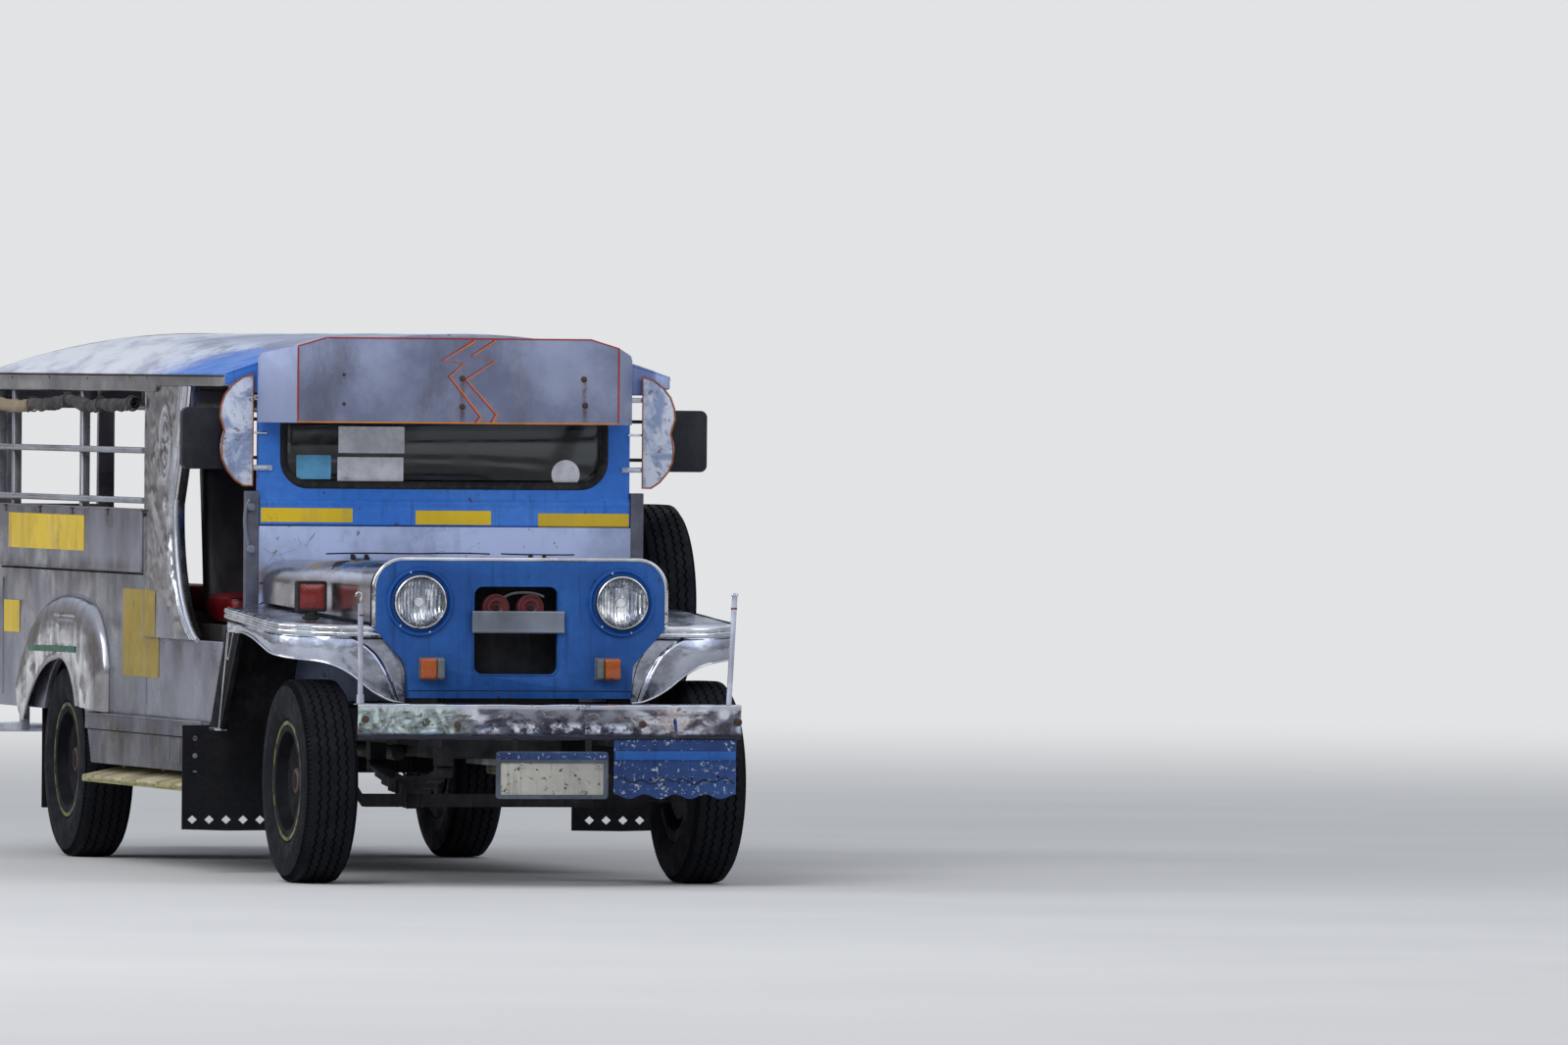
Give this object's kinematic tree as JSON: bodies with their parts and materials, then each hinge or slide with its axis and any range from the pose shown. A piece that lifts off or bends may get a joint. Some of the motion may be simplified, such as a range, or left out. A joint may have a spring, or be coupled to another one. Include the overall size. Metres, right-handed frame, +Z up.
{
  "type": "jeepney",
  "caption": "Old long-nosed jeepney in blue and bare metal with steered front wheels, turning wheels, hinged hood, open door ways, facing benches and a spare wheel.",
  "frame": {"origin": "middle of the overall length and width, on the ground under the wheels", "axes": "the front faces -Y, +X is the vehicle's left, +Z is up"},
  "size_m": [1.86, 5.388, 1.865],
  "materials": {
    "black_steel": "matt black road-worn paint",
    "grey_iron": "oily grey iron",
    "chrome": "dented bright plating",
    "plate_white": "worn off-white",
    "flap_blue": "faded speckled blue",
    "shell_blue": "weathered blue paint",
    "bare_metal": "bare weathered sheet",
    "lamp_glass": "clear",
    "lamp_amber": "amber and red lenses",
    "horn_red": "faded red-brown",
    "glass": "clear",
    "pale_blue": "cracked pale blue paint",
    "board_grey": "grey with thin red lines",
    "black_plastic": "matt black",
    "floor_steel": "scuffed grey",
    "seat_vinyl": "worn red vinyl",
    "polished_panel": "embossed bright sheet",
    "roof_paint": "white streaked over blue",
    "canvas": "grey-tan canvas",
    "tyre": "dusty black",
    "rim_dark": "dark with a yellow-green ring",
    "step_dirty": "dirty yellow",
    "rubber_black": "black rubber"
  },
  "bodies": {
    "chassis": {"chassis_frame": "black_steel", "leaf_springs": "black_steel", "front_axle": "black_steel", "rear_axle": "black_steel", "engine_block": "grey_iron", "radiator": "black_steel", "exhaust_pipe": "black_steel", "front_bumper": "chrome", "number_plate": "plate_white", "bumper_flap": "flap_blue", "grille_shell": "shell_blue", "headlamps": "lamp_glass", "small_lamps": "lamp_amber", "horn_bar": "horn_red", "front_fenders": "bare_metal", "cowl": "pale_blue", "windshield_frame": "shell_blue", "windshield_glass": "glass", "visor_board": "board_grey", "wing_plates": "pale_blue", "mirrors": "black_plastic", "floor_deck": "floor_steel", "front_seat": "seat_vinyl", "bench_cushions": "seat_vinyl", "side_panels": "bare_metal", "door_pillars": "polished_panel", "rear_wall": "bare_metal", "body_rails": "bare_metal", "roof": "roof_paint", "tarpaulin_rolls": "canvas", "rear_fenders": "polished_panel", "sill_boxes": "bare_metal", "side_steps": "step_dirty", "rear_step": "step_dirty", "mud_flaps": "rubber_black", "spare_tyre": "tyre", "spare_rim": "rim_dark"},
    "hood": {"hood": "bare_metal"},
    "steering_wheel": {"steering_wheel": "black_plastic"},
    "knuckle_right": {"knuckle_right": "black_steel"},
    "knuckle_left": {"knuckle_left": "black_steel"},
    "wheel_front_right": {"tyre_front_right": "tyre", "rim_front_right": "rim_dark"},
    "wheel_front_left": {"tyre_front_left": "tyre", "rim_front_left": "rim_dark"},
    "wheel_rear_right": {"tyre_rear_right": "tyre", "rim_rear_right": "rim_dark"},
    "wheel_rear_left": {"tyre_rear_left": "tyre", "rim_rear_left": "rim_dark"}
  },
  "joints": [
    {"name": "steer_left", "type": "hinge", "parent": "chassis", "child": "knuckle_left", "pos_m": [0.56, -2.064, 0.345], "axis": [0, 0, 1], "range_deg": [-28, 28]},
    {"name": "steer_right", "type": "hinge", "parent": "chassis", "child": "knuckle_right", "pos_m": [-0.56, -2.064, 0.345], "axis": [0, 0, 1], "range_deg": [-28, 28]},
    {"name": "steering_wheel_turn", "type": "hinge", "parent": "chassis", "child": "steering_wheel", "pos_m": [0.33, -0.904, 1.19], "axis": [0, 0.766, 0.6428], "range_deg": [-420, 420]},
    {"name": "hood_lift", "type": "hinge", "parent": "chassis", "child": "hood", "pos_m": [0, -1.268, 1.096], "axis": [-1, 0, 0], "range_deg": [0, 55]},
    {"name": "spin_front_right", "type": "hinge", "parent": "knuckle_right", "child": "wheel_front_right", "pos_m": [-0.677, -2.064, 0.345], "axis": [1, 0, 0], "continuous": true},
    {"name": "spin_front_left", "type": "hinge", "parent": "knuckle_left", "child": "wheel_front_left", "pos_m": [0.677, -2.064, 0.345], "axis": [1, 0, 0], "continuous": true},
    {"name": "spin_rear_right", "type": "hinge", "parent": "chassis", "child": "wheel_rear_right", "pos_m": [-0.677, 1.251, 0.345], "axis": [1, 0, 0], "continuous": true},
    {"name": "spin_rear_left", "type": "hinge", "parent": "chassis", "child": "wheel_rear_left", "pos_m": [0.677, 1.251, 0.345], "axis": [1, 0, 0], "continuous": true}
  ],
  "couplings": [
    {"joint": "steer_right", "follows": "steer_left", "ratio": 1},
    {"joint": "steering_wheel_turn", "follows": "steer_left", "ratio": 15}
  ]
}
